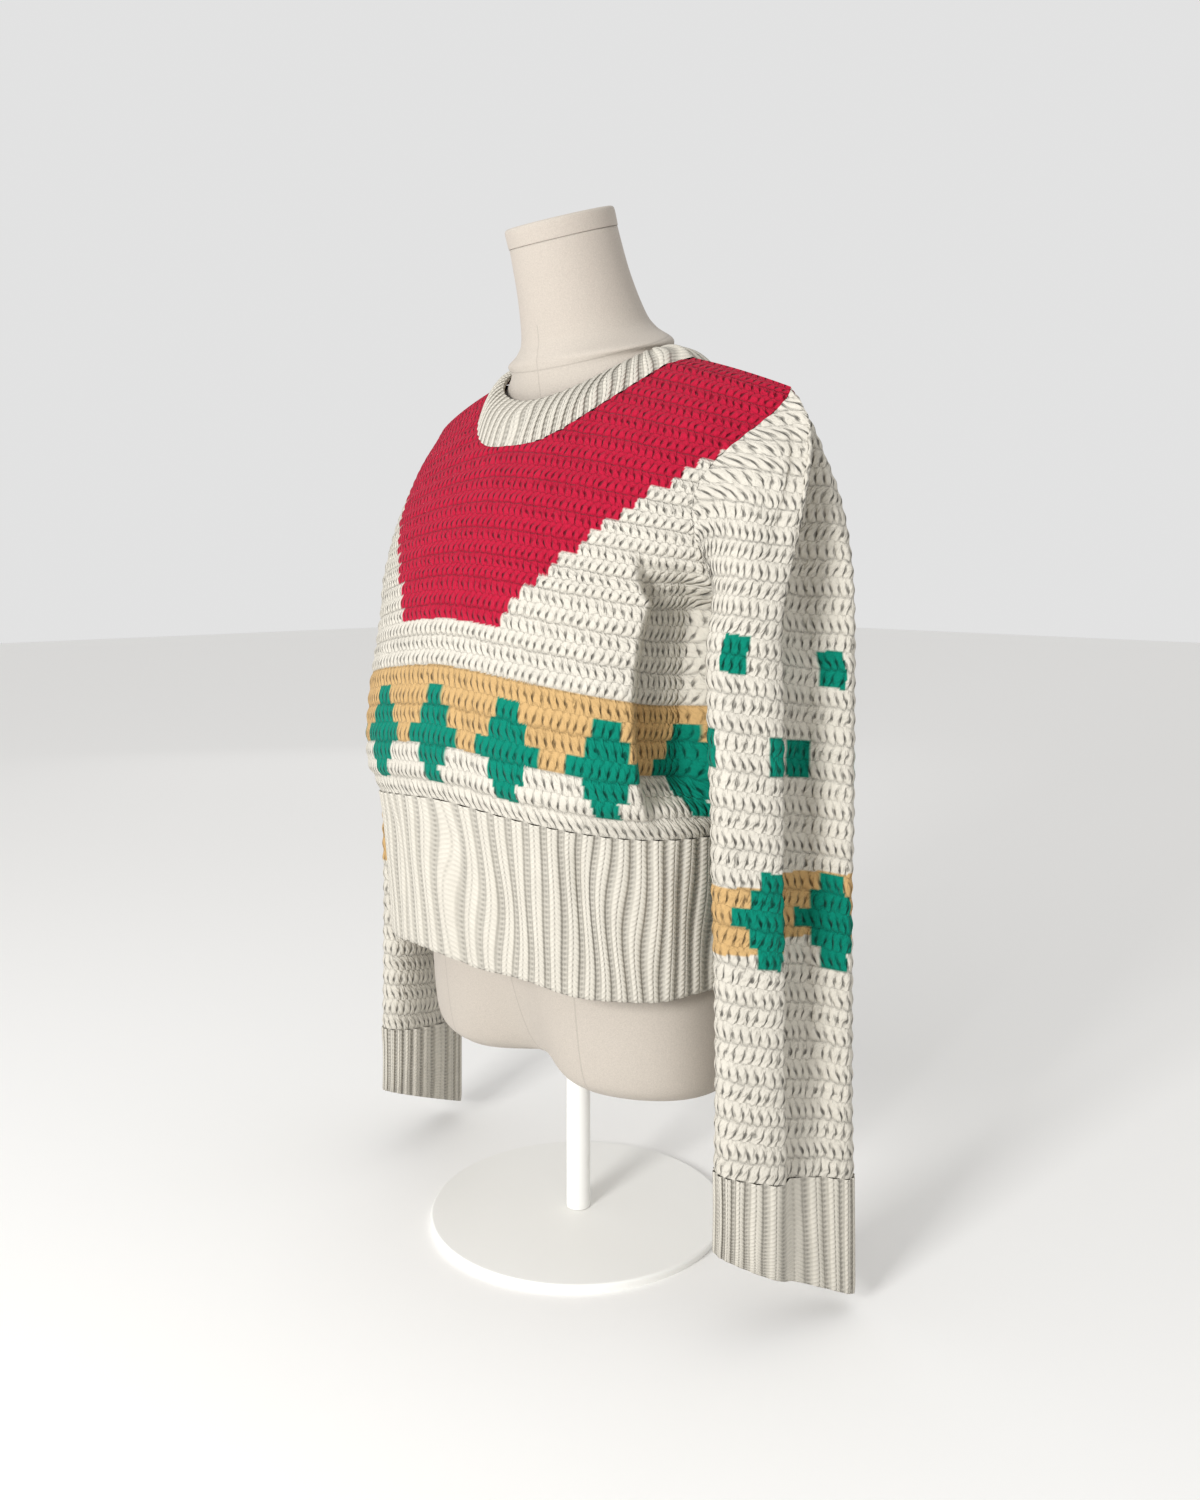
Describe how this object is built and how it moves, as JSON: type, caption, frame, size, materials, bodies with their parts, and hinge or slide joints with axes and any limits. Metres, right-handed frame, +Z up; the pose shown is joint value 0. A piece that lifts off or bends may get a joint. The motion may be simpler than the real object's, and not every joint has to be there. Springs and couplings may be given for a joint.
{
  "type": "crochet sweater on a limbless dress form and its round stand",
  "caption": "Cropped boxy crochet sweater with ribbed collar, hem and cuffs, worn by a limbless dress form on a pole and round base.",
  "frame": {"origin": "middle of the stand base's underside, on the floor", "axes": "+Z up, the form faces -Y, its left sleeve is at +X"},
  "size_m": [0.5436, 0.3031, 0.9312],
  "materials": {
    "front_yarn": "red, tan, green and cream yarn in double crochet",
    "back_yarn": "cream, tan and green yarn in double crochet",
    "sleeve_yarn": "cream yarn in double crochet with small green squares",
    "rib_yarn": "cream yarn in knitted rib",
    "form_canvas": "natural canvas cover",
    "form_band": "natural canvas band",
    "stand_steel": "white powder coat"
  },
  "bodies": {
    "root": {"front": "front_yarn", "back": "back_yarn", "sleeve_left": "sleeve_yarn", "sleeve_right": "sleeve_yarn", "neck_rib": "rib_yarn", "hem_rib": "rib_yarn", "cuff_left": "rib_yarn", "cuff_right": "rib_yarn", "form_torso": "form_canvas", "form_neck_cap": "form_band", "stand_pole": "stand_steel", "stand_base": "stand_steel"}
  },
  "joints": []
}
